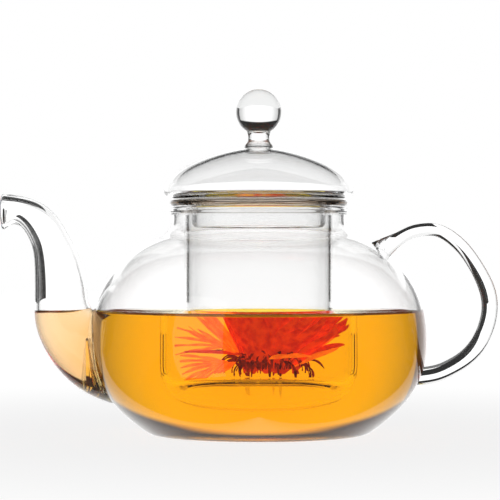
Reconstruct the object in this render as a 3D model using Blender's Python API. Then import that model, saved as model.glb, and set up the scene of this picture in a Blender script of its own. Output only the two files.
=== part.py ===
"""Flame-worked glass teapot with a lift-out infuser and a lift-off lid.

Metres, +Z up. The origin is on the pot's axis at the face it stands on. +X points to the handle and
-X to the spout. The bulb, the infuser and the lid are turned shapes about Z; the spout and the handle
are swept in the plane Y = 0. Fused pieces meet with the gap JOINT_GAP between them.
"""

import math

import bmesh
import bpy
from mathutils import Vector

MM = 0.001
SEGMENTS = 48
JOINT_GAP = 0.3 * MM

# Bulb, neck and rim
WALL = 1.9 * MM
FLOOR = 2.4 * MM
BULB_RADIUS = 63.5 * MM
BULB_WIDEST_Z = 35.5 * MM
FOOT_RADIUS = 41.1 * MM
FOOT_FLAT_RADIUS = 39.0 * MM
FOOT_CORNER_Z = 2.0 * MM
FOOT_BEND_RADIUS = 41.5 * MM
INNER_FLOOR_BEND = 2.2 * MM
INNER_FLOOR_EDGE = 6.0 * MM
LOWER_POWER = 2.4
UPPER_HEIGHT = 43.4 * MM
UPPER_POWER_Z = 2.2
UPPER_POWER_R = 3.03
SHOULDER_Z = 73.8 * MM
NECK_RADIUS = 33.4 * MM
NECK_BASE_Z = 79.5 * MM
SHOULDER_BEND = (34.3 * MM, 75.6 * MM)
RIM_BEAD_RADIUS = 1.25 * MM
RIM_BEAD_CENTRE = (32.45 * MM, 84.75 * MM)
RIM_TOP_Z = RIM_BEAD_CENTRE[1] + RIM_BEAD_RADIUS

# Spout: the underside and the upper side of the tube in the plane Y = 0, from the mouth to the root
SPOUT_WALL = 1.8 * MM
SPOUT_HOLE_RADIUS = 8.5 * MM
SPOUT_HOLE_Z = 26.3 * MM
HOLE_CUTTER_X = (-72.0 * MM, -45.0 * MM)
SPOUT_UNDER = [
    (-96.4, 77.4), (-93.6, 79.3), (-90.0, 78.1), (-86.6, 72.7), (-85.3, 66.9), (-85.0, 59.5),
    (-85.0, 50.6), (-84.3, 40.5), (-80.9, 32.0), (-75.1, 23.6), (-66.8, 16.5), (-57.0, 12.0), (-49.0, 10.0),
]
SPOUT_UPPER = [
    (-96.6, 91.0), (-93.0, 90.6), (-86.4, 89.2), (-78.3, 84.5), (-72.2, 75.4), (-67.9, 66.2),
    (-65.4, 57.2), (-64.7, 51.6), (-64.1, 49.0), (-63.3, 47.6), (-62.2, 47.2), (-57.5, 47.6), (-51.0, 48.0),
]

# Handle: the middle of the rod in the plane Y = 0 and the rod's radius there, from shoulder to lower bulb
HANDLE_PATH = [
    (45.0, 68.6, 4.6), (49.2, 71.6, 3.4), (53.4, 74.2, 2.5), (58.3, 76.6, 2.4), (62.2, 77.4, 2.4),
    (65.6, 77.5, 2.4), (69.0, 76.7, 2.4), (73.1, 74.3, 2.5), (77.2, 70.6, 2.6), (81.0, 65.6, 2.7),
    (84.5, 59.5, 2.9), (86.7, 54.0, 3.1), (87.5, 48.7, 3.1), (86.9, 43.4, 3.1), (85.3, 38.4, 3.1),
    (82.5, 33.3, 3.1), (78.3, 28.8, 3.1), (72.6, 25.2, 3.1), (67.3, 23.0, 3.2), (63.3, 22.2, 3.3),
    (57.0, 21.4, 3.0),
]

# Infuser
INFUSER_RADIUS = 28.1 * MM
INFUSER_WALL = 1.5 * MM
INFUSER_BOTTOM_Z = 23.8 * MM
INFUSER_CORNER_RADIUS = 5.0 * MM
FLANGE_RADIUS = 33.7 * MM
FLANGE_THICKNESS = 2.4 * MM
FLANGE_Z = RIM_TOP_Z + JOINT_GAP
SLIT_GROUPS = 4
SLITS_IN_GROUP = 3
SLIT_SPACING = 3.9 * MM
SLIT_WIDTH = 1.0 * MM
SLIT_LOW_Z = 27.2 * MM
SLIT_HIGH_Z = 37.5 * MM
SLIT_CUTTER_INSIDE = 5.0 * MM
SLIT_CUTTER_OUTSIDE = 3.0 * MM

# Lid
LID_Z = FLANGE_Z + FLANGE_THICKNESS + JOINT_GAP
LID_RADIUS = 35.9 * MM
LID_WIDEST_Z = 92.3 * MM
LID_TOP_Z = 109.0 * MM
LID_POWER_R = 1.6
LID_POWER_Z = 0.56
LID_WALL = 1.8 * MM
LID_UNDERSIDE_RADIUS = 32.0 * MM
SKIRT_RADIUS = 25.4 * MM
SKIRT_WALL = 1.6 * MM
SKIRT_BOTTOM_Z = 77.0 * MM
SKIRT_LIP_INSET = 0.8 * MM
SKIRT_LIP_HEIGHT = 3.4 * MM
KNOB_RADIUS = 8.6 * MM
KNOB_CENTRE_Z = 122.0 * MM
KNOB_NECK_RADIUS = 4.0 * MM
KNOB_NECK_Z = 111.9 * MM
KNOB_FLARE_RADIUS = 5.6 * MM
KNOB_FLARE_Z = 110.2 * MM
KNOB_NECK_BLEND_DEG = 4
LID_CURL_RISE = 0.2 * MM


def clear_scene():
    for item in list(bpy.data.objects):
        bpy.data.objects.remove(item)


def glass(name, colour, roughness=0.02):
    material = bpy.data.materials.new(name)
    material.use_nodes = True
    shader = material.node_tree.nodes["Principled BSDF"]
    shader.inputs["Base Color"].default_value = (*colour, 1.0)
    shader.inputs["Roughness"].default_value = roughness
    shader.inputs["Metallic"].default_value = 0.0
    shader.inputs["IOR"].default_value = 1.47
    shader.inputs["Transmission Weight"].default_value = 1.0
    return material


def add_object(name, mesh, material=None):
    made = bpy.data.objects.new(name, mesh)
    bpy.context.scene.collection.objects.link(made)
    if material:
        mesh.materials.append(material)
        mesh.shade_smooth()
        mesh.set_sharp_from_angle(angle=math.radians(40))
    return made


def bezier(start, control, end, count):
    """Points of a quadratic curve after its start, up to its end."""
    steps = [i / count for i in range(1, count + 1)]
    return [
        tuple((1 - t) ** 2 * a + 2 * t * (1 - t) * b + t * t * c for a, b, c in zip(start, control, end))
        for t in steps
    ]


def arc(centre, radius, start_deg, end_deg, count):
    angles = [math.radians(start_deg + (end_deg - start_deg) * i / count) for i in range(count + 1)]
    return [(centre[0] + radius * math.cos(a), centre[1] + radius * math.sin(a)) for a in angles]


def offset_outline(points, distance):
    """The outline moved by a distance to the left of its direction."""
    moved = []
    for i, point in enumerate(points):
        before = points[max(i - 1, 0)]
        after = points[min(i + 1, len(points) - 1)]
        along = Vector((after[0] - before[0], after[1] - before[1])).normalized()
        moved.append((point[0] - along.y * distance, point[1] + along.x * distance))
    return moved


def turned_mesh(name, outline, closed, segments=SEGMENTS):
    """Turns an outline of (radius, z) points about Z. A closed outline makes a ring, and an open one
    starts and ends on the axis."""
    shape = bmesh.new()
    rings = []
    for radius, z in outline:
        if radius < 1e-7:
            rings.append([shape.verts.new((0, 0, z))] * segments)
        else:
            angles = [2 * math.pi * k / segments for k in range(segments)]
            rings.append([shape.verts.new((radius * math.cos(a), radius * math.sin(a), z)) for a in angles])
    pairs = list(zip(rings, rings[1:]))
    if closed:
        pairs.append((rings[-1], rings[0]))
    for low, high in pairs:
        for k in range(segments):
            corners = [low[k], low[(k + 1) % segments], high[(k + 1) % segments], high[k]]
            face = list(dict.fromkeys(corners))
            if len(face) > 2:
                shape.faces.new(face)
    return finish_mesh(name, shape)


def finish_mesh(name, shape):
    bmesh.ops.recalc_face_normals(shape, faces=shape.faces)
    mesh = bpy.data.meshes.new(name)
    shape.to_mesh(mesh)
    shape.free()
    return mesh


def swept_rings(shape, sections, sides):
    """Rings of vertices about sections, each a centre, a radius and the ring's direction in Y = 0."""
    rings = []
    for centre, radius, across in sections:
        ring = []
        for k in range(sides):
            angle = 2 * math.pi * k / sides
            place = centre + across * (radius * math.cos(angle)) + Vector((0, radius * math.sin(angle), 0))
            ring.append(shape.verts.new(place))
        rings.append(ring)
    return rings


def bridge(shape, rings):
    for low, high in zip(rings, rings[1:]):
        for k in range(len(low)):
            after = (k + 1) % len(low)
            shape.faces.new([low[k], low[after], high[after], high[k]])


def cut(target, cutter):
    cutter.hide_render = True
    cutter.display_type = "WIRE"
    modifier = target.modifiers.new("cut_" + cutter.name, "BOOLEAN")
    modifier.operation = "DIFFERENCE"
    modifier.object = cutter


def bulb_radius(z):
    if z <= BULB_WIDEST_Z:
        depth = (BULB_WIDEST_Z - z) / BULB_WIDEST_Z
        return FOOT_RADIUS + (BULB_RADIUS - FOOT_RADIUS) * (1 - depth**LOWER_POWER)
    rise = (z - BULB_WIDEST_Z) / UPPER_HEIGHT
    return BULB_RADIUS * (1 - rise**UPPER_POWER_Z) ** (1 / UPPER_POWER_R)


def bulb_wall_outline():
    """The outside of the bulb from its foot corner up to the bottom of the neck."""
    below = BULB_WIDEST_Z - FOOT_CORNER_Z
    above = SHOULDER_Z - BULB_WIDEST_Z
    lower = [FOOT_CORNER_Z + below * i / 7 for i in range(8)]
    upper = [BULB_WIDEST_Z + above * math.sin(math.pi / 2 * i / 9) for i in range(1, 10)]
    wall = [(bulb_radius(z), z) for z in (*lower, *upper)]
    return wall + bezier(wall[-1], SHOULDER_BEND, (NECK_RADIUS, NECK_BASE_Z), 4)


def make_pot_body(material):
    wall = bulb_wall_outline()
    foot = bezier((FOOT_FLAT_RADIUS, 0), (FOOT_BEND_RADIUS, 0), wall[0], 3)[:-1]
    meet = math.degrees(math.acos((NECK_RADIUS - RIM_BEAD_CENTRE[0]) / RIM_BEAD_RADIUS))
    bead = arc(RIM_BEAD_CENTRE, RIM_BEAD_RADIUS, -meet, 180 + meet, 10)
    inside = [point for point in offset_outline(wall, WALL) if point[1] > FLOOR + 1.0 * MM]
    corner = inside[0][0]
    floor_edge = (corner - INNER_FLOOR_EDGE, FLOOR)
    inner_floor = bezier(inside[0], (corner - INNER_FLOOR_BEND, FLOOR), floor_edge, 3)
    outside = [(0, 0), (FOOT_FLAT_RADIUS, 0), *foot, *wall]
    outline = [*outside, *bead, *reversed(inside), *inner_floor, (0, FLOOR)]
    body = add_object("pot_body", turned_mesh("pot_body", outline, closed=False), material)
    cut(body, make_hole_cutter())
    return body


def make_hole_cutter():
    """A rod along X through the wall under the spout only."""
    shape = bmesh.new()
    upright = Vector((0, 0, 1))
    sections = [(Vector((x, 0, SPOUT_HOLE_Z)), SPOUT_HOLE_RADIUS, upright) for x in HOLE_CUTTER_X]
    rings = swept_rings(shape, sections, 24)
    bridge(shape, rings)
    shape.faces.new(rings[0])
    shape.faces.new(rings[1])
    return add_object("spout_hole_cutter", finish_mesh("spout_hole_cutter", shape))


def make_bulb_cutter(name):
    """The bulb's outside, JOINT_GAP larger, which trims what is fused to it."""
    grown = offset_outline(bulb_wall_outline(), -JOINT_GAP)
    outline = [(0, grown[0][1]), *grown, (0, grown[-1][1])]
    return add_object(name, turned_mesh(name, outline, closed=False, segments=2 * SEGMENTS))


def spout_sections():
    sections = []
    for low, high in zip(SPOUT_UNDER, SPOUT_UPPER):
        low = Vector((low[0], 0, low[1])) * MM
        high = Vector((high[0], 0, high[1])) * MM
        sections.append(((low + high) / 2, (high - low).length / 2, (high - low).normalized()))
    return sections


def make_spout_tube(material, bulb_cutter):
    shape = bmesh.new()
    sections = spout_sections()
    outer = swept_rings(shape, sections, 24)
    inner_sections = [(centre, radius - SPOUT_WALL, across) for centre, radius, across in sections]
    inner = swept_rings(shape, inner_sections, 24)
    bridge(shape, [*outer, *reversed(inner), outer[0]])
    spout = add_object("spout_tube", finish_mesh("spout_tube", shape), material)
    cut(spout, bulb_cutter)
    return spout


def make_handle_rod(material, bulb_cutter):
    sections = []
    for i, (x, z, radius) in enumerate(HANDLE_PATH):
        before = HANDLE_PATH[max(i - 1, 0)]
        after = HANDLE_PATH[min(i + 1, len(HANDLE_PATH) - 1)]
        along = Vector((after[0] - before[0], 0, after[1] - before[1])).normalized()
        sections.append((Vector((x, 0, z)) * MM, radius * MM, Vector((-along.z, 0, along.x))))
    shape = bmesh.new()
    rings = swept_rings(shape, sections, 14)
    bridge(shape, rings)
    shape.faces.new(rings[0])
    shape.faces.new(rings[-1])
    handle = add_object("handle_rod", finish_mesh("handle_rod", shape), material)
    cut(handle, bulb_cutter)
    return handle


def make_infuser_cup(material):
    outer_corner = INFUSER_CORNER_RADIUS
    inner_corner = INFUSER_CORNER_RADIUS - INFUSER_WALL
    middle = (INFUSER_RADIUS - INFUSER_CORNER_RADIUS, INFUSER_BOTTOM_Z + INFUSER_CORNER_RADIUS)
    top = FLANGE_Z - JOINT_GAP
    inner_radius = INFUSER_RADIUS - INFUSER_WALL
    outline = [
        (0, INFUSER_BOTTOM_Z),
        *arc(middle, outer_corner, -90, 0, 5),
        (INFUSER_RADIUS, top),
        (inner_radius, top),
        *arc(middle, inner_corner, 0, -90, 5),
        (0, INFUSER_BOTTOM_Z + INFUSER_WALL),
    ]
    cup = add_object("infuser_cup", turned_mesh("infuser_cup", outline, closed=False), material)
    for group in range(SLIT_GROUPS):
        for slit in range(SLITS_IN_GROUP):
            cut(cup, make_slit_cutter(group, slit))
    return cup


def make_slit_cutter(group, slit):
    """A narrow upright blade with round ends, through the cup's wall at one side."""
    turn = 2 * math.pi * group / SLIT_GROUPS - math.pi / 2
    across = (slit - (SLITS_IN_GROUP - 1) / 2) * SLIT_SPACING
    half = SLIT_WIDTH / 2
    top = arc((across, SLIT_HIGH_Z - half), half, 0, 180, 4)
    bottom = arc((across, SLIT_LOW_Z + half), half, 180, 360, 4)
    shape = bmesh.new()
    rings = []
    for depth in (INFUSER_RADIUS - SLIT_CUTTER_INSIDE, INFUSER_RADIUS + SLIT_CUTTER_OUTSIDE):
        ring = []
        for side, z in (*top, *bottom):
            x = depth * math.cos(turn) - side * math.sin(turn)
            y = depth * math.sin(turn) + side * math.cos(turn)
            ring.append(shape.verts.new((x, y, z)))
        rings.append(ring)
    bridge(shape, rings)
    shape.faces.new(rings[0])
    shape.faces.new(rings[1])
    name = f"slit_cutter_{group}_{slit}"
    return add_object(name, finish_mesh(name, shape))


def make_infuser_flange(material):
    """A flat ring with a rounded outer edge, over the pot's rim and the cup's top."""
    edge = FLANGE_THICKNESS / 2
    middle = (FLANGE_RADIUS - edge, FLANGE_Z + edge)
    inner = INFUSER_RADIUS - INFUSER_WALL
    outline = [(inner, FLANGE_Z), *arc(middle, edge, -90, 90, 6), (inner, FLANGE_Z + FLANGE_THICKNESS)]
    return add_object("infuser_flange", turned_mesh("infuser_flange", outline, closed=True), material)


def dome_height(radius):
    fullness = 1 - (radius / LID_RADIUS) ** LID_POWER_R
    return LID_WIDEST_Z + (LID_TOP_Z - LID_WIDEST_Z) * fullness**LID_POWER_Z


def make_lid_dome(material):
    """A hollow shell: dome, edge curled under, flat underside with the skirt's hole in it."""
    radii = [LID_RADIUS * math.sin(math.pi / 2 * i / 11) for i in range(12)]
    dome = [(radius, dome_height(radius)) for radius in radii]
    curl_end = (LID_UNDERSIDE_RADIUS, LID_Z)
    curl = bezier(dome[-1], (LID_RADIUS, LID_Z + LID_CURL_RISE), curl_end, 4)
    hole = SKIRT_RADIUS - SKIRT_WALL
    outside = [*dome, *curl]
    inside = [(max(r, 0), z) for r, z in offset_outline(outside, -LID_WALL)]
    inside[0] = (0, dome[0][1] - LID_WALL)
    inside[-1] = (LID_UNDERSIDE_RADIUS, LID_Z + LID_WALL)
    outline = [*outside, (hole, LID_Z), (hole, LID_Z + LID_WALL), *reversed(inside)]
    return add_object("lid_dome", turned_mesh("lid_dome", outline, closed=False), material)


def make_lid_skirt(material):
    """The tube under the lid, with a rounded, slightly closed-in lower edge."""
    half = SKIRT_WALL / 2
    inner = SKIRT_RADIUS - SKIRT_WALL
    top = LID_Z - JOINT_GAP
    lip = (SKIRT_RADIUS - half - SKIRT_LIP_INSET, SKIRT_BOTTOM_Z + half)
    bend_z = SKIRT_BOTTOM_Z + SKIRT_LIP_HEIGHT
    rim = arc(lip, half, 0, -180, 6)
    outer_bend = bezier((SKIRT_RADIUS, bend_z), (SKIRT_RADIUS, lip[1] + half), rim[0], 3)[:-1]
    inner_bend = bezier(rim[-1], (inner, lip[1] + half), (inner, bend_z), 3)
    outline = [(SKIRT_RADIUS, top), (SKIRT_RADIUS, bend_z), *outer_bend, *rim, *inner_bend, (inner, top)]
    return add_object("lid_skirt", turned_mesh("lid_skirt", outline, closed=True), material)


def make_lid_knob(material):
    """A solid ball, drawn into a short neck that flares onto the dome."""
    root_z = dome_height(0) + JOINT_GAP
    ball_start = math.degrees(math.asin(KNOB_NECK_RADIUS / KNOB_RADIUS)) - 90 + KNOB_NECK_BLEND_DEG
    ball = arc((0, KNOB_CENTRE_Z), KNOB_RADIUS, ball_start, 90, 14)
    neck_end = (KNOB_NECK_RADIUS, KNOB_NECK_Z)
    flare = bezier((KNOB_FLARE_RADIUS, root_z), (KNOB_NECK_RADIUS, KNOB_FLARE_Z), neck_end, 4)
    outline = [(0, root_z), (KNOB_FLARE_RADIUS, root_z), *flare, *ball[:-1], (0, ball[-1][1])]
    return add_object("lid_knob", turned_mesh("lid_knob", outline, closed=False, segments=32), material)


def main():
    clear_scene()
    bulb_glass = glass("bulb_glass", (0.96, 0.97, 0.97))
    tube_glass = glass("tube_glass", (0.95, 0.96, 0.97))
    rod_glass = glass("rod_glass", (0.94, 0.95, 0.95))
    infuser_glass = glass("infuser_glass", (0.96, 0.96, 0.97))
    flange_glass = glass("flange_glass", (0.46, 0.37, 0.28), roughness=0.08)
    lid_glass = glass("lid_glass", (0.96, 0.97, 0.97))
    bulb_cutter = make_bulb_cutter("bulb_cutter")
    make_pot_body(bulb_glass)
    make_spout_tube(tube_glass, bulb_cutter)
    make_handle_rod(rod_glass, bulb_cutter)
    make_infuser_cup(infuser_glass)
    make_infuser_flange(flange_glass)
    make_lid_dome(lid_glass)
    make_lid_skirt(lid_glass)
    make_lid_knob(lid_glass)


main()
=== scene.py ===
"""Looks of a flame-worked glass teapot, half full of tea, with a tea flower in its infuser.

Metres, +Z up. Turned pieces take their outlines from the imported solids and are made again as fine, smooth
meshes. Pieces that are fused on the real pot reach EMBED into each other, so no air shows between them.
"""

import math
import random

import bmesh
import bpy
import numpy as np
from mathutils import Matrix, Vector


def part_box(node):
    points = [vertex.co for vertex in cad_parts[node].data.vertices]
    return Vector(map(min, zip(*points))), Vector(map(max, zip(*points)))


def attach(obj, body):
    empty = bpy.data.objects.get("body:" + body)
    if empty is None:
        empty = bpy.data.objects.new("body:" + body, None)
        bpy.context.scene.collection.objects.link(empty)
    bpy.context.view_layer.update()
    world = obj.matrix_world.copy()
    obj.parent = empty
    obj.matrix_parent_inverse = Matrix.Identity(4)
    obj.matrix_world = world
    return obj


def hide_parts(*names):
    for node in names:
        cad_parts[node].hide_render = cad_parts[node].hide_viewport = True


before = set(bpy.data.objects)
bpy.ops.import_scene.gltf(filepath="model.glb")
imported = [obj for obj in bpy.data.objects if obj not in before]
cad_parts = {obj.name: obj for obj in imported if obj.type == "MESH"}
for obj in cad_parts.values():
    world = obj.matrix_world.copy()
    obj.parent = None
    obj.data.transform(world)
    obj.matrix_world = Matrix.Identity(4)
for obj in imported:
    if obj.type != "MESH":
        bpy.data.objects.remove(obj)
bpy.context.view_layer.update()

MM = 0.001
ROUND = 192
CORNER_TURN = math.radians(42)
STRAIGHT_RATIO = 5.0
OUTLINE_AT = math.radians(45)
STEP = 0.8 * MM
EMBED = 0.5 * MM
SMOOTH_ANGLE = math.radians(35)

# Spout: the underside and the upper side of the tube in the plane Y = 0, from the mouth to the root
SPOUT_UNDER = [
    (-96.4, 77.4), (-93.6, 79.3), (-90.0, 78.1), (-86.6, 72.7), (-85.3, 66.9), (-85.0, 59.5),
    (-85.0, 50.6), (-84.3, 40.5), (-80.9, 32.0), (-75.1, 23.6), (-66.8, 16.5), (-57.0, 12.0), (-49.0, 10.0),
]
SPOUT_UPPER = [
    (-96.6, 91.0), (-93.0, 90.6), (-86.4, 89.2), (-78.3, 84.5), (-72.2, 75.4), (-67.9, 66.2),
    (-65.4, 57.2), (-64.7, 51.6), (-64.1, 49.0), (-63.3, 47.6), (-62.2, 47.2), (-57.5, 47.6), (-51.0, 48.0),
]
SPOUT_WALL = 1.8 * MM
SPOUT_HOLE_RADIUS = 8.5 * MM
SPOUT_HOLE_Z = 26.3 * MM
HOLE_CUTTER_X = (-72.0 * MM, -45.0 * MM)
TEA_IN_HOLE_X = (-64.0 * MM, -50.0 * MM)
SPOUT_BORE_X = -74.8 * MM
SPOUT_BORE_RADIUS = 9.0 * MM
SPOUT_AIR_RADIUS = 30.0 * MM
SPOUT_AIR_TOP_Z = 0.12
SPOUT_SPACING_MM = 1.6
HANDLE_SPACING = 1.2 * MM

# Handle: the middle of the rod in the plane Y = 0 and the rod's radius there, from shoulder to lower bulb
HANDLE_PATH = [
    (45.0, 68.6, 4.6), (49.2, 71.6, 3.4), (53.4, 74.2, 2.5), (58.3, 76.6, 2.4), (62.2, 77.4, 2.4),
    (65.6, 77.5, 2.4), (69.0, 76.7, 2.4), (73.1, 74.3, 2.5), (77.2, 70.6, 2.6), (81.0, 65.6, 2.7),
    (84.5, 59.5, 2.9), (86.7, 54.0, 3.1), (87.5, 48.7, 3.1), (86.9, 43.4, 3.1), (85.3, 38.4, 3.1),
    (82.5, 33.3, 3.1), (78.3, 28.8, 3.1), (72.6, 25.2, 3.1), (67.3, 23.0, 3.2), (63.3, 22.2, 3.3),
    (57.0, 21.4, 3.0),
]

# Infuser slits
INFUSER_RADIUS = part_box("infuser_cup")[1][0]
INFUSER_BOTTOM_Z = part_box("infuser_cup")[0][2]
INFUSER_WALL = 1.5 * MM
SLIT_GROUPS = 4
SLITS_IN_GROUP = 3
SLIT_SPACING = 3.9 * MM
SLIT_WIDTH = 1.0 * MM
SLIT_LOW_Z = 27.2 * MM
SLIT_HIGH_Z = 37.5 * MM
SLIT_CUTTER_INSIDE = 4.0 * MM
SLIT_CUTTER_OUTSIDE = 3.0 * MM

# Tea
TEA_LEVEL = 45.4 * MM
MENISCUS_RISE = 1.6 * MM
MENISCUS_WIDTH = 1.5 * MM
TEA_IN_GLASS = 0.3 * MM
TEA_STEP = 0.4 * MM
WATERLINE_Z = TEA_LEVEL + 0.8 * MENISCUS_RISE
TEA_IOR = 1.333
GLASS_IOR = 1.47

# Tea flower, in the infuser
FLOWER_TOP_Z = TEA_LEVEL - 0.9 * MM
FLOWER_FLOOR_Z = INFUSER_BOTTOM_Z + 1.9 * MM
FLOWER_REACH = 25.8 * MM
FLOWER_SOFT = 3.0 * MM
PETAL_THICKNESS = 0.16 * MM
PETAL_ROWS = 12
PETAL_RIPPLE = 0.3 * MM
RIPPLE_TURNS = 7
TOOTH_DEPTH = 0.16
FLOWER_X_MM = 3.0

# Camera and light
CAMERA_AT = (-3.3 * MM, -0.881, 69.7 * MM)
LENS_MM = 167.4
WINDOW_AT = (-0.78, -0.90, 0.09)
WINDOW_AIM = (0, 0, 0.04)
WINDOW_SIZE = (0.75, 1.7)
WINDOW_ENERGY = 3.5
FLOOR_RADIUS = 3.0
# Painted shade round the pot: the floor's glow is dimmer near its middle and rises to full strength further
# out.
FLOOR_SHADED_GLOW = 0.86
FLOOR_SHADE_RADII = (0.05, 0.4)
FLOOR_Z = -0.2 * MM
CARD_LIGHT = 1.0
KNOB_CARD_Z = 110.5 * MM
KNOB_CARD = ((-0.06, 0.013), (0.06, 0.013), (0.10, 0.11), (-0.10, 0.11))
HANDLE_CARD = ((0.066, 0.025), (0.15, 0.025), (0.15, 0.20), (0.066, 0.20))
HANDLE_CARD_Z = 11 * MM
SURROUND_RADIUS = 2.5
SURROUND_HEIGHT = 2.0
SURROUND_TABLE_Z = -0.6 * MM
SURROUND_FROM_DEG = 62
FRONT_FROM_DEG = 115
SIDE_LIGHT = 0.22
FRONT_LIGHT = 0.16
FLAG_DISTANCE = 0.2
FLAG_FROM_DEG = 35
FLAG_LOW_FROM_DEG = 42
FLAG_BOTTOM_Z = 48 * MM
FLAG_TOP_Z = 100 * MM
FLAG_LIGHT = 0.03
BACKDROP_RADIUS = 2.9
BACKDROP_LOW = -0.5
BACKDROP_HIGH = 4.0
SCREEN_SIDE = math.radians(48)
SCREEN_EVEN = math.radians(12)
SCREEN_EDGE_LIGHT = 0.68
SCREEN_TOP = math.radians(22)
SCREEN_BLUR = math.radians(3)
SCREEN_LIGHT = 1.27
ROOM_LIGHT = 0.07
CEILING_LIGHT = 0.02


# ---------------------------------------------------------------- curves and outlines


def spline(points, spacing):
    """Evenly spaced points on a curve through the given ones, with no break in its curvature."""
    knots = np.array(points, float)
    if len(knots) == 2:
        return [tuple(knot) for knot in knots]
    gaps = np.linalg.norm(np.diff(knots, axis=0), axis=1)
    along = np.concatenate([[0], np.cumsum(gaps)])
    slopes = np.diff(knots, axis=0) / gaps[:, None]
    system = np.eye(len(knots))
    right = np.zeros_like(knots)
    for i in range(1, len(knots) - 1):
        system[i, i - 1 : i + 2] = gaps[i - 1], 2 * (gaps[i - 1] + gaps[i]), gaps[i]
        right[i] = 6 * (slopes[i] - slopes[i - 1])
    bend = np.linalg.solve(system, right)
    places = np.linspace(0, along[-1], math.ceil(along[-1] / spacing) + 1)
    span = np.clip(np.searchsorted(along, places, side="right") - 1, 0, len(knots) - 2)
    width = gaps[span][:, None]
    low = (along[span + 1] - places)[:, None] / width
    high = 1 - low
    curved = (low**3 - low) * bend[span] + (high**3 - high) * bend[span + 1]
    return [tuple(p) for p in low * knots[span] + high * knots[span + 1] + curved * width**2 / 6]


def node_outline(node):
    """The (radius, z) outline of a turned node, from its mesh's edges in one upright half-plane."""
    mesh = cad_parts[node].data
    places = {}
    for vert in mesh.vertices:
        radius = math.hypot(vert.co.x, vert.co.y)
        if radius < 1e-6 or abs(math.atan2(vert.co.y, vert.co.x) - OUTLINE_AT) < 1e-4:
            places[vert.index] = (round(radius, 6), round(vert.co.z, 6))
    links = {}
    for edge in mesh.edges:
        ends = [places.get(i) for i in edge.vertices]
        if None not in ends and ends[0] != ends[1]:
            links.setdefault(ends[0], set()).add(ends[1])
            links.setdefault(ends[1], set()).add(ends[0])
    ends = sorted((place for place, near in links.items() if len(near) == 1), key=lambda place: place[1])
    chain = [ends[0] if ends else min(links)]
    onward = [max(links[chain[0]])]
    while onward:
        chain.append(onward[0])
        onward = [place for place in links[chain[-1]] if place not in chain]
    first = [(0.0, chain[0][1])] if ends and chain[0][0] > 0 else []
    last = [(0.0, chain[-1][1])] if ends and chain[-1][0] > 0 else []
    return [*first, *chain, *last], not ends


def is_break(before, here, after):
    """Whether a smooth curve stops here, at a sharp turn or at the end of a straight stretch."""
    first = Vector((here[0] - before[0], here[1] - before[1]))
    second = Vector((after[0] - here[0], after[1] - here[1]))
    lengths = sorted((first.length, second.length))
    return abs(first.angle_signed(second, 0.0)) > CORNER_TURN or lengths[1] > STRAIGHT_RATIO * lengths[0]


def smooth_run(run, spacing):
    """A run of an outline made smooth, level where it meets the axis."""
    ahead = [(-r, z) for r, z in reversed(run[1:4])] if run[0][0] == 0 else []
    behind = [(-r, z) for r, z in reversed(run[-4:-1])] if run[-1][0] == 0 else []
    curve = spline([*ahead, *run, *behind], spacing)
    if not ahead and not behind:
        return curve
    kept = [p for p in curve if p[0] > spacing / 3]
    start = [run[0]] if ahead else []
    end = [run[-1]] if behind else []
    return [*start, *kept, *end]


def fine_outline(outline, closed, spacing=STEP):
    """The outline through the same points with smooth curves between its corners."""
    count = len(outline)
    if closed:
        around = [(outline[i - 1], outline[i], outline[(i + 1) % count]) for i in range(count)]
        first = next(i for i in range(count) if is_break(*around[i]))
        outline = [*outline[first:], *outline[: first + 1]]
    middles = range(1, len(outline) - 1)
    corners = [i for i in middles if is_break(outline[i - 1], outline[i], outline[i + 1])]
    bounds = [0, *corners, len(outline) - 1]
    fine = []
    for low, high in zip(bounds, bounds[1:]):
        fine.extend(smooth_run(outline[low : high + 1], spacing)[:-1])
    return fine if closed else [*fine, outline[-1]]


def offset_outline(points, distance):
    """The outline moved by a distance to the left of its direction."""
    moved = []
    for i, point in enumerate(points):
        before = points[max(i - 1, 0)]
        after = points[min(i + 1, len(points) - 1)]
        along = Vector((after[0] - before[0], after[1] - before[1])).normalized()
        moved.append((max(point[0] - along.y * distance, 0.0), point[1] + along.x * distance))
    return moved


def arc(centre, radius, start_deg, end_deg, count):
    angles = [math.radians(start_deg + (end_deg - start_deg) * i / count) for i in range(count + 1)]
    return [(centre[0] + radius * math.cos(a), centre[1] + radius * math.sin(a)) for a in angles]


# ---------------------------------------------------------------- meshes


def turned(outline, closed, segments=ROUND, centre=(0.0, 0.0)):
    """A bmesh of an outline turned about an upright line, a ring when closed."""
    shape = bmesh.new()
    rings = []
    for radius, z in outline:
        if radius < 1e-7:
            rings.append([shape.verts.new((*centre, z))] * segments)
        else:
            angles = [2 * math.pi * k / segments for k in range(segments)]
            across = [(radius * math.cos(a), radius * math.sin(a)) for a in angles]
            rings.append([shape.verts.new((centre[0] + x, centre[1] + y, z)) for x, y in across])
    bridge(shape, [*rings, rings[0]] if closed else rings)
    return shape


def bridge(shape, rings):
    for low, high in zip(rings, rings[1:]):
        for k in range(len(low)):
            after = (k + 1) % len(low)
            face = list(dict.fromkeys([low[k], low[after], high[after], high[k]]))
            if len(face) > 2:
                shape.faces.new(face)


def swept(sections, sides):
    """Rings about sections in the plane Y = 0, each a centre, a radius and its direction across."""
    shape = bmesh.new()
    rings = []
    for centre, radius, across in sections:
        angles = [2 * math.pi * k / sides for k in range(sides)]
        places = [
            centre + across * (radius * math.cos(a)) + Vector((0, radius * math.sin(a), 0)) for a in angles
        ]
        rings.append([shape.verts.new(place) for place in places])
    return shape, rings


def add_object(name, shape, material=None):
    bmesh.ops.recalc_face_normals(shape, faces=shape.faces)
    mesh = bpy.data.meshes.new(name)
    shape.to_mesh(mesh)
    shape.free()
    made = bpy.data.objects.new(name, mesh)
    bpy.context.scene.collection.objects.link(made)
    if material:
        mesh.materials.append(material)
    return made


def smooth(piece):
    piece.data.shade_smooth()
    piece.data.set_sharp_from_angle(angle=SMOOTH_ANGLE)
    return piece


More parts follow.
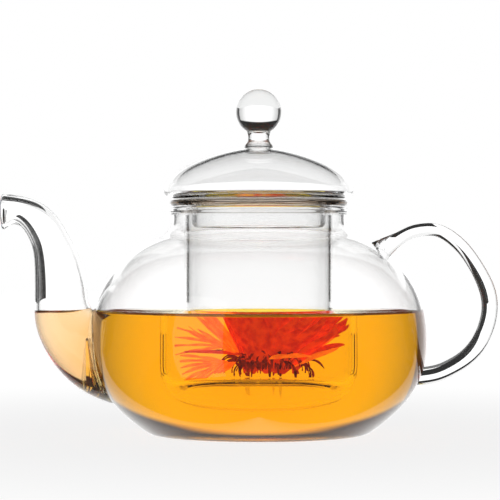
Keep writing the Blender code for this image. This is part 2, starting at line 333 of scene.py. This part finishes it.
def combine(piece, other, operation):
    """A Boolean with another object, which is used up."""
    modifier = piece.modifiers.new(operation.lower(), "BOOLEAN")
    modifier.operation = operation
    modifier.solver = "EXACT"
    modifier.object = other
    apply_modifiers(piece)
    bpy.data.objects.remove(other)
    return piece


def apply_modifiers(piece):
    graph = bpy.context.evaluated_depsgraph_get()
    mesh = bpy.data.meshes.new_from_object(piece.evaluated_get(graph))
    piece.modifiers.clear()
    piece.data = mesh


# ---------------------------------------------------------------- materials


def new_material(name):
    material = bpy.data.materials.new(name)
    material.use_nodes = True
    nodes = material.node_tree.nodes
    return material, nodes, material.node_tree.links, nodes["Principled BSDF"]


def waviness(nodes, links, shader, scale, height):
    """Slow unevenness of hand-drawn glass, as a bump in the object's own space."""
    where = nodes.new("ShaderNodeTexCoord")
    noise = nodes.new("ShaderNodeTexNoise")
    noise.inputs["Scale"].default_value = scale
    noise.inputs["Detail"].default_value = 1.0
    bump = nodes.new("ShaderNodeBump")
    bump.inputs["Strength"].default_value = 1.0
    bump.inputs["Distance"].default_value = height
    links.new(where.outputs["Object"], noise.inputs["Vector"])
    links.new(noise.outputs["Fac"], bump.inputs["Height"])
    links.new(bump.outputs["Normal"], shader.inputs["Normal"])


def absorb(nodes, links, colour, density):
    volume = nodes.new("ShaderNodeVolumeAbsorption")
    volume.inputs["Color"].default_value = (*colour, 1.0)
    volume.inputs["Density"].default_value = density
    output = next(node for node in nodes if node.type == "OUTPUT_MATERIAL")
    links.new(volume.outputs["Volume"], output.inputs["Volume"])


def glass(name, ior=GLASS_IOR, tint=(0.80, 0.82, 0.80), density=14.0, wave=(38.0, 0.05 * MM)):
    material, nodes, links, shader = new_material(name)
    shader.inputs["Base Color"].default_value = (1.0, 1.0, 1.0, 1.0)
    shader.inputs["Roughness"].default_value = 0.0
    shader.inputs["IOR"].default_value = ior
    shader.inputs["Transmission Weight"].default_value = 1.0
    waviness(nodes, links, shader, *wave)
    absorb(nodes, links, tint, density)
    return material


def tea_material(name, colour, density):
    material, nodes, links, shader = new_material(name)
    shader.inputs["Base Color"].default_value = (1.0, 1.0, 1.0, 1.0)
    shader.inputs["Roughness"].default_value = 0.0
    shader.inputs["IOR"].default_value = TEA_IOR
    shader.inputs["Transmission Weight"].default_value = 1.0
    absorb(nodes, links, colour, density)
    return material


def petal_material(name, dark, light, painted_glow):
    """Petal colour in fine streaks. The light that soaks through wet petals is painted on, as a weak
    emission of the petal colour.
    """
    material, nodes, links, shader = new_material(name)
    where = nodes.new("ShaderNodeTexCoord")
    noise = nodes.new("ShaderNodeTexNoise")
    noise.inputs["Scale"].default_value = 420.0
    noise.inputs["Detail"].default_value = 4.0
    ramp = nodes.new("ShaderNodeValToRGB")
    ramp.color_ramp.elements[0].position = 0.35
    ramp.color_ramp.elements[0].color = (*dark, 1.0)
    ramp.color_ramp.elements[1].position = 0.65
    ramp.color_ramp.elements[1].color = (*light, 1.0)
    links.new(where.outputs["Object"], noise.inputs["Vector"])
    links.new(noise.outputs["Fac"], ramp.inputs["Fac"])
    links.new(ramp.outputs["Color"], shader.inputs["Base Color"])
    links.new(ramp.outputs["Color"], shader.inputs["Emission Color"])
    shader.inputs["Emission Strength"].default_value = painted_glow
    shader.inputs["Roughness"].default_value = 0.35
    shader.inputs["Specular IOR Level"].default_value = 0.1
    shader.inputs["IOR"].default_value = 1.02
    shader.inputs["Transmission Weight"].default_value = 0.5
    return material


# ---------------------------------------------------------------- pot


def pot_runs():
    """The pot's fine outline, as its outside from the foot to the rim's top and its inside from there."""
    outline, closed = node_outline("pot_body")
    fine = fine_outline(outline, closed)
    top = max(range(len(fine)), key=lambda i: fine[i][1])
    return fine[: top + 1], fine[top:]


def make_bulb(outside, inside, material):
    bulb = add_object("bulb", turned([*outside, *inside[1:]], closed=False), material)
    hole = hole_sections(SPOUT_HOLE_RADIUS, HOLE_CUTTER_X)
    combine(bulb, capped_tube("spout_hole", hole, 64), "DIFFERENCE")
    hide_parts("pot_body")
    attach(smooth(bulb), "pot")
    return bulb


def hole_sections(radius, ends):
    """The hole under the spout's root, as a straight rod along X."""
    return [(Vector((x, 0, SPOUT_HOLE_Z)), radius, Vector((0, 0, 1))) for x in ends]


def capped_tube(name, sections, sides, material=None):
    shape, rings = swept(sections, sides)
    bridge(shape, rings)
    shape.faces.new(rings[0])
    shape.faces.new(rings[-1])
    return add_object(name, shape, material)


def bulb_core(outside, depth=EMBED):
    """The bulb as a solid, a little smaller, which trims what meets its outside."""
    core = offset_outline(outside, depth)
    return add_object("bulb_core", turned([(0.0, core[0][1]), *core[1:], (0.0, core[-1][1])], closed=False))


def spout_sections():
    points = [(*under, *upper) for under, upper in zip(SPOUT_UNDER, SPOUT_UPPER)]
    sections = []
    for x0, z0, x1, z1 in spline(points, SPOUT_SPACING_MM):
        low = Vector((x0, 0, z0)) * MM
        high = Vector((x1, 0, z1)) * MM
        sections.append(((low + high) / 2, (high - low).length / 2, (high - low).normalized()))
    return sections


def make_spout(outside, material):
    sections = spout_sections()
    centre, radius, across = sections[0]
    outward = Vector((-across.z, 0, across.x))
    half = SPOUT_WALL / 2
    lip = [
        (centre + outward * (half * math.sin(a)), radius - half + half * math.cos(a), across)
        for a in (math.pi * k / 6 for k in range(7))
    ]
    inner = [(middle, size - SPOUT_WALL, side) for middle, size, side in sections]
    shape, rings = swept([*reversed(sections), *lip[1:-1], *inner], 96)
    bridge(shape, [*rings, rings[0]])
    spout = add_object("spout", shape, material)
    combine(spout, bulb_core(outside), "DIFFERENCE")
    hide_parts("spout_tube")
    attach(smooth(spout), "pot")
    return spout


def make_handle(outside, material):
    path = spline([[value * MM for value in point] for point in HANDLE_PATH], HANDLE_SPACING)
    sections = []
    for i, (x, z, radius) in enumerate(path):
        before = path[max(i - 1, 0)]
        after = path[min(i + 1, len(path) - 1)]
        along = Vector((after[0] - before[0], 0, after[1] - before[1])).normalized()
        sections.append((Vector((x, 0, z)), radius, Vector((-along.z, 0, along.x))))
    handle = capped_tube("handle", sections, 64, material)
    combine(handle, bulb_core(outside), "DIFFERENCE")
    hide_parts("handle_rod")
    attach(smooth(handle), "pot")
    return handle


# ---------------------------------------------------------------- infuser and lid


def slit_blades():
    """All the slits as one cutter: upright blades with round ends."""
    shape = bmesh.new()
    half = SLIT_WIDTH / 2
    for group in range(SLIT_GROUPS):
        turn = 2 * math.pi * group / SLIT_GROUPS - math.pi / 2
        for slit in range(SLITS_IN_GROUP):
            across = (slit - (SLITS_IN_GROUP - 1) / 2) * SLIT_SPACING
            top = arc((across, SLIT_HIGH_Z - half), half, 0, 180, 8)
            bottom = arc((across, SLIT_LOW_Z + half), half, 180, 360, 8)
            rings = []
            for depth in (INFUSER_RADIUS - SLIT_CUTTER_INSIDE, INFUSER_RADIUS + SLIT_CUTTER_OUTSIDE):
                ring = []
                for side, z in (*top, *bottom):
                    x = depth * math.cos(turn) - side * math.sin(turn)
                    y = depth * math.sin(turn) + side * math.cos(turn)
                    ring.append(shape.verts.new((x, y, z)))
                rings.append(ring)
            bridge(shape, rings)
            shape.faces.new(rings[0])
            shape.faces.new(rings[1])
    return add_object("slit_blades", shape)


def make_infuser_cup(material, wet_material):
    outline, closed = node_outline("infuser_cup")
    top = max(z for _, z in outline)
    raised = [(r, z + 2 * EMBED if z == top else z) for r, z in outline]
    shape = turned(fine_outline(raised, closed), closed)
    geometry = [*shape.verts, *shape.edges, *shape.faces]
    bmesh.ops.bisect_plane(shape, geom=geometry, plane_co=(0, 0, WATERLINE_Z), plane_no=(0, 0, 1))
    cup = add_object("infuser_cup_glass", shape, material)
    combine(cup, slit_blades(), "DIFFERENCE")
    cup.data.materials.append(wet_material)
    for face in cup.data.polygons:
        face.material_index = int(face.center.z < WATERLINE_Z)
    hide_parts("infuser_cup")
    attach(smooth(cup), "infuser")
    return cup


def make_turned(name, node, body, material, shift=None):
    """A node's outline as a fine turned piece. shift moves the points at one end of it along Z."""
    outline, closed = node_outline(node)
    if shift:
        end = max(z for _, z in outline) if shift > 0 else min(z for _, z in outline)
        outline = [(r, z + shift if z == end else z) for r, z in outline]
    piece = add_object(name, turned(fine_outline(outline, closed), closed), material)
    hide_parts(node)
    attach(smooth(piece), body)
    return piece


# ---------------------------------------------------------------- tea


def tea_height(radius, wall_radius):
    """The tea's surface, which climbs each wall that it touches."""
    inner = INFUSER_RADIUS - INFUSER_WALL
    beside_infuser = max(radius - INFUSER_RADIUS, inner - radius, 0.0)
    beside_bulb = max(wall_radius - radius, 0.0)
    return TEA_LEVEL + MENISCUS_RISE * math.exp(-min(beside_infuser, beside_bulb) / MENISCUS_WIDTH)


def make_tea(inside, material):
    """Tea in the bulb, through the spout's hole and in the spout, up to one level."""
    bed = offset_outline(list(reversed(inside)), -TEA_IN_GLASS)
    bed = [point for point in bed if point[1] < TEA_LEVEL + MENISCUS_RISE]
    bed[0] = (0.0, bed[0][1])
    wall_radius = bed[-1][0] - TEA_IN_GLASS
    count = int(wall_radius / TEA_STEP)
    radii = [wall_radius * (1 - i / count) for i in range(count)]
    surface = [(radius, tea_height(radius, wall_radius)) for radius in radii]
    rim = (bed[-1][0], TEA_LEVEL + MENISCUS_RISE)
    tea = add_object("tea", turned([*bed, rim, *surface, (0.0, TEA_LEVEL)], closed=False), material)
    hole = hole_sections(SPOUT_HOLE_RADIUS + TEA_IN_GLASS, TEA_IN_HOLE_X)
    combine(tea, capped_tube("tea_in_hole", hole, 64), "UNION")
    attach(smooth(tea), "pot")
    return tea


def make_spout_tea(outside, material):
    bore = [
        (centre, radius - SPOUT_WALL + TEA_IN_GLASS, across) for centre, radius, across in spout_sections()
    ]
    filled = capped_tube("tea_in_spout", bore, 96, material)
    count = 24
    radii = [SPOUT_BORE_RADIUS * i / count for i in range(count + 1)]
    rise = [
        (r, TEA_LEVEL + MENISCUS_RISE * math.exp((r - SPOUT_BORE_RADIUS) / MENISCUS_WIDTH)) for r in radii
    ]
    above = [(SPOUT_AIR_RADIUS, rise[-1][1]), (SPOUT_AIR_RADIUS, SPOUT_AIR_TOP_Z), (0.0, SPOUT_AIR_TOP_Z)]
    air = [*rise, *above]
    combine(filled, add_object("spout_air", turned(air, False, 96, (SPOUT_BORE_X, 0.0))), "DIFFERENCE")
    combine(filled, bulb_core(outside, TEA_IN_GLASS), "DIFFERENCE")
    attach(smooth(filled), "pot")
    return filled


# ---------------------------------------------------------------- tea flower


def add_sheet(shape, grid, thickness):
    """A closed thin sheet over rows of points."""
    along = np.gradient(grid, axis=0)
    across = np.gradient(grid, axis=1)
    normal = np.cross(along, across)
    normal /= np.linalg.norm(normal, axis=2, keepdims=True) + 1e-12
    sides = [
        [[shape.verts.new(place) for place in row] for row in grid + normal * shift]
        for shift in (thickness / 2, -thickness / 2)
    ]
    rows, columns = len(grid), len(grid[0])
    for i in range(rows - 1):
        for j in range(columns - 1):
            for side in sides:
                shape.faces.new([side[i][j], side[i][j + 1], side[i + 1][j + 1], side[i + 1][j]])
    border = [
        *((0, j) for j in range(columns)),
        *((i, columns - 1) for i in range(1, rows)),
        *((rows - 1, j) for j in reversed(range(columns - 1))),
        *((i, 0) for i in reversed(range(1, rows - 1))),
    ]
    for (i, j), (k, m) in zip(border, [*border[1:], border[0]]):
        shape.faces.new([sides[0][i][j], sides[0][k][m], sides[1][k][m], sides[1][i][j]])


def kept_inside(place):
    """A point moved softly back between the infuser's floor, its wall and the tea's surface."""
    radius = math.hypot(place[0], place[1])
    reach = FLOWER_REACH - FLOWER_SOFT
    if radius > reach:
        place[:2] *= (reach + FLOWER_SOFT * math.tanh((radius - reach) / FLOWER_SOFT)) / radius
    high = FLOWER_TOP_Z - FLOWER_SOFT
    if place[2] > high:
        place[2] = high + FLOWER_SOFT * math.tanh((place[2] - high) / FLOWER_SOFT)
    place[2] = max(place[2], FLOWER_FLOOR_Z)
    return place


def petal_width(s, teeth):
    """A petal's half width at a part s of its length, as a part of the full one."""
    if teeth:
        return 0.22 + 0.78 * s**0.8
    return 0.12 + 0.88 * math.sin(math.pi * s**0.8) ** 0.8


def petal_grid(dice, root, turn, length, half_width, lean, curl, teeth=0):
    """Rows of points from a petal's root to its tip. lean and curl are its first slope and how much that
    grows; teeth make the tip broad and ragged, and without them it is pointed."""
    rows, columns = PETAL_ROWS, 4 * teeth if teeth else 6
    outward = np.array((math.cos(turn), math.sin(turn), 0.0))
    sideways = np.array((-math.sin(turn), math.cos(turn), 0.0))
    phase = dice.uniform(0, 2 * math.pi)
    cup = dice.uniform(0.25, 0.5)
    grid = np.zeros((rows + 1, columns + 1, 3))
    for j in range(columns + 1):
        side = 2 * j / columns - 1
        notch = TOOTH_DEPTH * (1 + math.cos(math.pi * teeth * side)) if teeth else 0.0
        reach = length * (1 - notch)
        out, up = 0.0, 0.0
        for i in range(rows + 1):
            s = i / rows
            slope = lean + curl * s
            width = half_width * petal_width(s, teeth)
            lift = cup * width * side * side + PETAL_RIPPLE * math.sin(RIPPLE_TURNS * s + phase) * side
            place = np.array(root) + outward * (out - lift * math.cos(slope)) + sideways * (width * side)
            place[2] += up + lift * math.sin(slope)
            grid[i, j] = kept_inside(place)
            out += math.sin(slope) * reach / rows
            up += math.cos(slope) * reach / rows
    return grid


def make_petals(name, material, grids, thickness=PETAL_THICKNESS):
    shape = bmesh.new()
    for grid in grids:
        add_sheet(shape, grid, thickness)
    petals = add_object(name, shape, material)
    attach(smooth(petals), "infuser")
    return petals


def near(dice, place, spread):
    return tuple(value + dice.uniform(-spread, spread) for value in place)


def petal_at(dice, place_mm, turn_deg, length_mm, half_width_mm, lean_deg, curl_deg, teeth=0):
    root = [value * MM for value in place_mm]
    turn, lean, curl = (math.radians(angle) for angle in (turn_deg, lean_deg, curl_deg))
    return petal_grid(dice, root, turn, length_mm * MM, half_width_mm * MM, lean, curl, teeth)


def root_at(turn_deg, out_x, out_y, z):
    """A petal's root, in millimetres, on an oval round the flower's middle."""
    turn = math.radians(turn_deg)
    return (FLOWER_X_MM + out_x * math.cos(turn), out_y * math.sin(turn), z)


def deep_petals(dice):
    """The body of the flower: broad petals out of an oval root, and pointed ones on its +X side."""
    grids = []
    for k in range(56):
        turn = -170 + 340 * k / 55 + dice.uniform(-8, 8)
        ahead = math.cos(math.radians(turn))
        spread = dice.uniform(3.0, 9.5)
        root = root_at(turn, spread, spread, dice.uniform(26.5, 30.5))
        lean = dice.uniform(4, 26) + (34 if ahead > 0 else 6) * abs(ahead)
        length = dice.uniform(17, 24)
        half_width = dice.uniform(3.0, 4.6)
        grids.append(petal_at(dice, root, turn, length, half_width, lean, dice.uniform(4, 24)))
    for k in range(14):
        root = near(dice, (9.0, 0.0, 31.0), 3.0)
        turn = dice.uniform(-40, 40)
        length = dice.uniform(18, 23)
        grids.append(petal_at(dice, root, turn, length, 1.3, dice.uniform(34, 60), 8))
    grids.append(petal_at(dice, (-5.0, -9.0, 31.5), 183, 17, 1.6, 86, 3))
    return grids


def pale_petals(dice):
    """Lighter petals: broad ones towards -X, fringes of narrow ones, and a broad toothed one towards +X."""
    grids = [
        petal_at(dice, (-6.0, -4.0, 31.0), 178, 17, 6.0, 44, 8, 3),
        petal_at(dice, (-6.0, -7.0, 31.0), 190, 16, 5.0, 62, 6, 3),
        petal_at(dice, (-5.0, 4.0, 31.0), 170, 19, 5.5, 40, 10, 3),
        petal_at(dice, (10.0, -5.0, 29.0), -8, 15, 3.6, 62, -8, 4),
        petal_at(dice, (10.0, -7.0, 28.5), -14, 15, 3.0, 74, -6, 4),
        petal_at(dice, (3.0, -13.5, 30.5), -10, 13, 2.2, 86, 2),
    ]
    for k in range(7):
        grids.append(petal_at(dice, (-9.0, -6.0, 29.5), 176 + 5 * k, 14, 1.1, 80 + 6 * k, 6))
    for k in range(5):
        grids.append(petal_at(dice, (-7.0, -10.0, 29.5), 196 + 10 * k, 7, 1.0, 104, 16))
    for k in range(4):
        grids.append(petal_at(dice, (-8.0, 2.0, 33.5), 176 + 4 * k, 16, 0.9, 68 + 9 * k, 6))
    return grids


def tuft_strands(dice):
    """Thin strands that curl over each other round the flower's root."""
    grids = []
    for k in range(80):
        turn = 360 * k / 80 + dice.uniform(-5, 5)
        spread = dice.uniform(4, 8)
        root = root_at(turn, 1.1 * spread, spread, 28.0)
        length = dice.uniform(6, 11)
        lean = dice.uniform(0, 50)
        grids.append(petal_at(dice, root, turn, length, 0.55, lean, dice.uniform(90, 190)))
    return grids


def make_flower():
    dice = random.Random(7)
    # The last number of each is its painted glow: emission that stands in for light soaking through the
    # petals.
    red = petal_material("petal_red", (0.55, 0.035, 0.001), (0.76, 0.10, 0.004), 0.42)
    orange = petal_material("petal_orange", (0.75, 0.20, 0.02), (0.95, 0.36, 0.07), 0.5)
    brown = petal_material("petal_brown", (0.10, 0.008, 0.002), (0.45, 0.05, 0.006), 0.3)
    make_petals("petals_deep", red, deep_petals(dice))
    make_petals("petals_pale", orange, pale_petals(dice))
    make_petals("flower_tuft", brown, tuft_strands(dice))


# ---------------------------------------------------------------- stage


def aim(item, target):
    item.rotation_euler = (Vector(target) - item.location).to_track_quat("-Z", "Y").to_euler()


def make_camera():
    data = bpy.data.cameras.new("camera")
    data.lens = LENS_MM
    data.sensor_width = 36.0
    data.clip_start = 0.01
    camera = bpy.data.objects.new("camera", data)
    bpy.context.scene.collection.objects.link(camera)
    camera.location = CAMERA_AT
    camera.rotation_euler = (math.radians(90), 0, 0)
    bpy.context.scene.camera = camera


def make_window():
    """A tall soft box in front on the left, which shows only as a reflection."""
    data = bpy.data.lights.new("window", "AREA")
    data.shape = "RECTANGLE"
    data.size, data.size_y = WINDOW_SIZE
    data.energy = WINDOW_ENERGY
    window = bpy.data.objects.new("window", data)
    bpy.context.scene.collection.objects.link(window)
    window.location = WINDOW_AT
    aim(window, WINDOW_AIM)
    seen_only_by(window, "glossy")


def lit_material(name, strength):
    """A plain surface that only gives light."""
    material, *_, shader = new_material(name)
    shader.inputs["Base Color"].default_value = (0.0, 0.0, 0.0, 1.0)
    shader.inputs["Specular IOR Level"].default_value = 0.0
    shader.inputs["Emission Color"].default_value = (1.0, 1.0, 1.0, 1.0)
    shader.inputs["Emission Strength"].default_value = strength
    return material


def seen_only_by(piece, rays):
    """Hides a piece of the stage from every kind of ray but one."""
    for kind in ("camera", "diffuse", "glossy", "transmission", "volume_scatter"):
        setattr(piece, "visible_" + kind, kind == rays)


def make_floor():
    shape = bmesh.new()
    bmesh.ops.create_circle(shape, cap_ends=True, segments=128, radius=FLOOR_RADIUS)
    material = lit_material("pale_floor", 1.0)
    nodes = material.node_tree.nodes
    links = material.node_tree.links
    shader = nodes["Principled BSDF"]
    shader.inputs["Base Color"].default_value = (0.5, 0.5, 0.5, 1.0)
    shader.inputs["Roughness"].default_value = 0.9
    where = nodes.new("ShaderNodeTexCoord")
    length = nodes.new("ShaderNodeVectorMath")
    length.operation = "LENGTH"
    links.new(where.outputs["Object"], length.inputs[0])
    # Painted shade: the floor glows less near the pot and at full strength further out; the diffuse part on
    # top of the glow takes real light and shadow.
    light = ramp_node(nodes, links, length.outputs["Value"], *FLOOR_SHADE_RADII, FLOOR_SHADED_GLOW, 1.0)
    links.new(light, shader.inputs["Emission Strength"])
    floor = add_object("floor", shape, material)
    floor.location.z = FLOOR_Z
    floor.visible_transmission = False
    floor.visible_glossy = False


def make_card(name, corners, height, light):
    """A level card, seen only through the glass."""
    shape = bmesh.new()
    shape.faces.new([shape.verts.new((x, y, 0.0)) for x, y in corners])
    card = add_object(name, shape, lit_material(name, light))
    card.location.z = height
    seen_only_by(card, "transmission")


def upright_sheet(name, radius, low, high, start_deg, end_deg, material):
    """A curved upright sheet about the pot, from one direction to another counted from +Y."""
    shape = bmesh.new()
    count = 48
    rings = []
    for z in (low, high):
        angles = [math.radians(start_deg + (end_deg - start_deg) * k / count) for k in range(count + 1)]
        rings.append([shape.verts.new((radius * math.sin(a), radius * math.cos(a), z)) for a in angles])
    for k in range(count):
        shape.faces.new([rings[0][k], rings[0][k + 1], rings[1][k + 1], rings[1][k]])
    return add_object(name, shape, material)


def sector(name, start_deg, end_deg, material):
    """A flat piece of table from one direction to another counted from +Y."""
    shape = bmesh.new()
    centre = shape.verts.new((0, 0, 0))
    turns = [math.radians(start_deg + (end_deg - start_deg) * k / 32) for k in range(33)]
    places = [(SURROUND_RADIUS * math.sin(a), SURROUND_RADIUS * math.cos(a), 0) for a in turns]
    rim = [shape.verts.new(place) for place in places]
    for near_side, far_side in zip(rim, rim[1:]):
        shape.faces.new([centre, near_side, far_side])
    table = add_object(name, shape, material)
    table.location.z = SURROUND_TABLE_Z
    return table


def make_surround():
    """White sheets and table at the sides and in front, seen only through the glass."""
    side = lit_material("side_light", SIDE_LIGHT)
    front = lit_material("front_light", FRONT_LIGHT)
    parts = [
        ("right", SURROUND_FROM_DEG, FRONT_FROM_DEG, side),
        ("front", FRONT_FROM_DEG, 360 - FRONT_FROM_DEG, front),
        ("left", 360 - FRONT_FROM_DEG, 360 - SURROUND_FROM_DEG, side),
    ]
    for name, start, end, material in parts:
        sheet = upright_sheet(name + "_sheet", SURROUND_RADIUS, 0.0, SURROUND_HEIGHT, start, end, material)
        for piece in (sheet, sector(name + "_table", start, end, material)):
            seen_only_by(piece, "transmission")


def make_flags():
    """Black cards at both sides behind the pot, over the tea's level, which draw the glass walls dark. One
    more goes down to the table behind the handle."""
    material = lit_material("black_flag", FLAG_LIGHT)
    flags = [
        ("flag_right", FLAG_FROM_DEG, SURROUND_FROM_DEG, FLAG_BOTTOM_Z),
        ("flag_left", -SURROUND_FROM_DEG, -FLAG_FROM_DEG, FLAG_BOTTOM_Z),
        ("flag_by_handle", FLAG_LOW_FROM_DEG, SURROUND_FROM_DEG, 0.0),
    ]
    for name, start, end, low in flags:
        flag = upright_sheet(name, FLAG_DISTANCE, low, FLAG_TOP_Z, start, end, material)
        seen_only_by(flag, "transmission")


def make_backdrop():
    """A white wall all round, seen directly and never through the glass."""
    material = lit_material("backdrop", 1.0)
    wall = upright_sheet("backdrop", BACKDROP_RADIUS, BACKDROP_LOW, BACKDROP_HIGH, 0, 360, material)
    seen_only_by(wall, "camera")


def math_node(nodes, links, operation, first, second=None):
    node = nodes.new("ShaderNodeMath")
    node.operation = operation
    for socket, value in zip(node.inputs, (first, second)):
        if isinstance(value, (int, float)):
            socket.default_value = value
        elif value is not None:
            links.new(value, socket)
    return node.outputs[0]


def ramp_node(nodes, links, value, low, high, out_low, out_high):
    node = nodes.new("ShaderNodeMapRange")
    node.interpolation_type = "SMOOTHSTEP"
    for name, number in (("From Min", low), ("From Max", high), ("To Min", out_low), ("To Max", out_high)):
        node.inputs[name].default_value = number
    links.new(value, node.inputs["Value"])
    return node.outputs["Result"]


def make_world():
    """A bright screen behind the pot, up to SCREEN_TOP and SCREEN_SIDE, and a dim room around it."""
    world = bpy.data.worlds.new("studio")
    bpy.context.scene.world = world
    world.use_nodes = True
    nodes = world.node_tree.nodes
    links = world.node_tree.links
    where = nodes.new("ShaderNodeTexCoord")
    split = nodes.new("ShaderNodeSeparateXYZ")
    links.new(where.outputs["Generated"], split.inputs[0])
    x, y, z = split.outputs
    azimuth = math_node(nodes, links, "ABSOLUTE", math_node(nodes, links, "ARCTAN2", x, y))
    height = math_node(nodes, links, "ARCSINE", z)
    falloff = ramp_node(nodes, links, azimuth, SCREEN_EVEN, SCREEN_SIDE, SCREEN_LIGHT, SCREEN_EDGE_LIGHT)
    inside = ramp_node(nodes, links, azimuth, SCREEN_SIDE - SCREEN_BLUR, SCREEN_SIDE, 1.0, 0.0)
    screen = math_node(nodes, links, "MULTIPLY", falloff, inside)
    room = math_node(nodes, links, "MAXIMUM", screen, ROOM_LIGHT)
    below_top = ramp_node(nodes, links, height, SCREEN_TOP - SCREEN_BLUR, SCREEN_TOP, 1.0, 0.0)
    light = math_node(nodes, links, "MULTIPLY", room, below_top)
    strength = math_node(nodes, links, "ADD", light, CEILING_LIGHT)
    links.new(strength, nodes["Background"].inputs["Strength"])
    nodes["Background"].inputs["Color"].default_value = (1.0, 1.0, 1.0, 1.0)


def set_rendering():
    scene = bpy.context.scene
    scene.view_settings.view_transform = "Standard"
    scene.cycles.max_bounces = 40
    scene.cycles.transmission_bounces = 40
    scene.cycles.glossy_bounces = 12
    scene.cycles.transparent_max_bounces = 40
    scene.cycles.caustics_refractive = True
    scene.cycles.sample_clamp_indirect = 4.0


def main():
    outside, inside = pot_runs()
    bulb_glass = glass("bulb_glass")
    rod_glass = glass("rod_glass")
    infuser_glass = glass("infuser_glass")
    wet_glass = glass("infuser_glass_in_tea", ior=GLASS_IOR / TEA_IOR, density=2.0)
    flange_glass = glass("flange_glass", tint=(0.60, 0.50, 0.38), density=190.0)
    lid_glass = glass("lid_glass")
    make_bulb(outside, inside, bulb_glass)
    make_spout(outside, bulb_glass)
    make_handle(outside, rod_glass)
    make_tea(inside, tea_material("tea", (1.0, 0.885, 0.0), 75.0))
    make_spout_tea(outside, tea_material("tea_in_spout", (0.99, 0.72, 0.25), 75.0))
    make_infuser_cup(infuser_glass, wet_glass)
    make_turned("flange_ring", "infuser_flange", "infuser", flange_glass)
    make_turned("lid_shell", "lid_dome", "lid", lid_glass)
    make_turned("lid_collar", "lid_skirt", "lid", lid_glass, shift=2 * EMBED)
    make_turned("lid_ball", "lid_knob", "lid", lid_glass, shift=-2 * EMBED)
    make_flower()
    make_camera()
    make_window()
    make_floor()
    # White behind the knob brightens the ball. Black behind the handle draws the band along its top.
    make_card("knob_card", KNOB_CARD, KNOB_CARD_Z, CARD_LIGHT)
    make_card("handle_card", HANDLE_CARD, HANDLE_CARD_Z, FLAG_LIGHT)
    make_surround()
    make_flags()
    make_backdrop()
    make_world()
    set_rendering()


main()
